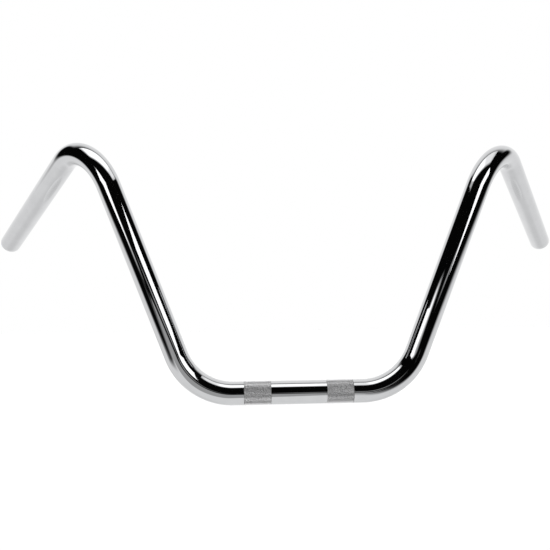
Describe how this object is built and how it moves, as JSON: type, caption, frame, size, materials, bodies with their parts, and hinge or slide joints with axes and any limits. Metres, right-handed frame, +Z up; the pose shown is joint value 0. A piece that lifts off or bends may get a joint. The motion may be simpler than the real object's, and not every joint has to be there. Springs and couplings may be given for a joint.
{
  "type": "motorcycle handlebar",
  "caption": "Bare high-rise motorcycle handlebar: a chrome-plated tube with knurled clamp bands, leaning uprights and grip ends swept down and back, dimpled below for wiring.",
  "frame": {"origin": "on the tube's axis, midway between the two knurled clamp bands", "axes": "+X to the rider's left along the clamp section, +Y back to the rider, +Z up"},
  "size_m": [0.7518, 0.213, 0.2859],
  "materials": {
    "chrome": "polished chrome plate on steel tube",
    "knurl": "rolled diamond knurl, dull plated steel"
  },
  "bodies": {
    "root": {"centre_section": "chrome", "left_knurl": "knurl", "right_knurl": "knurl", "left_lower_bend": "chrome", "right_lower_bend": "chrome", "left_upright": "chrome", "right_upright": "chrome", "left_upper_bend": "chrome", "right_upper_bend": "chrome", "left_grip_end": "chrome", "right_grip_end": "chrome"}
  },
  "joints": []
}
